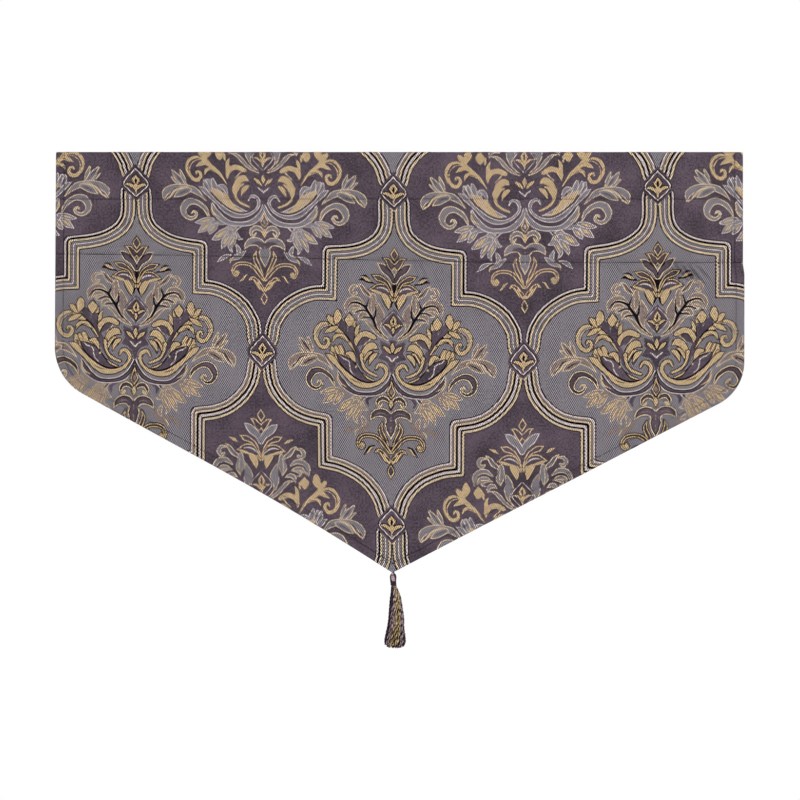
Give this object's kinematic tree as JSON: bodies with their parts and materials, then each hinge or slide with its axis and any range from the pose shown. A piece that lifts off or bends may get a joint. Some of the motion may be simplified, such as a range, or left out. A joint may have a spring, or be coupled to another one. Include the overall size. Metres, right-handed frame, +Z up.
{
  "type": "ascot valance",
  "caption": "Pointed window valance of woven damask cloth with a header, a rod pocket across the top and a tassel at its point.",
  "frame": {"origin": "middle of the valance's top edge, half-way through the cloth", "axes": "+X to the right as seen from the front, +Y to the back (the wall or window side), +Z up"},
  "size_m": [0.9156, 0.0293, 0.659],
  "materials": {
    "damask_cloth": "woven damask: a ribbed grey ground and a smooth plum satin ground with raised gold and pale mauve figure",
    "tassel_yarn": "soft twisted viscose yarn in plum, mauve and gold",
    "binding_thread": "tightly wound dark thread",
    "loop_cord": "fine twisted cord"
  },
  "bodies": {
    "root": {"panel": "damask_cloth", "heading": "damask_cloth", "tassel": "tassel_yarn", "tassel_binding": "binding_thread", "tassel_loop": "loop_cord"}
  },
  "joints": []
}
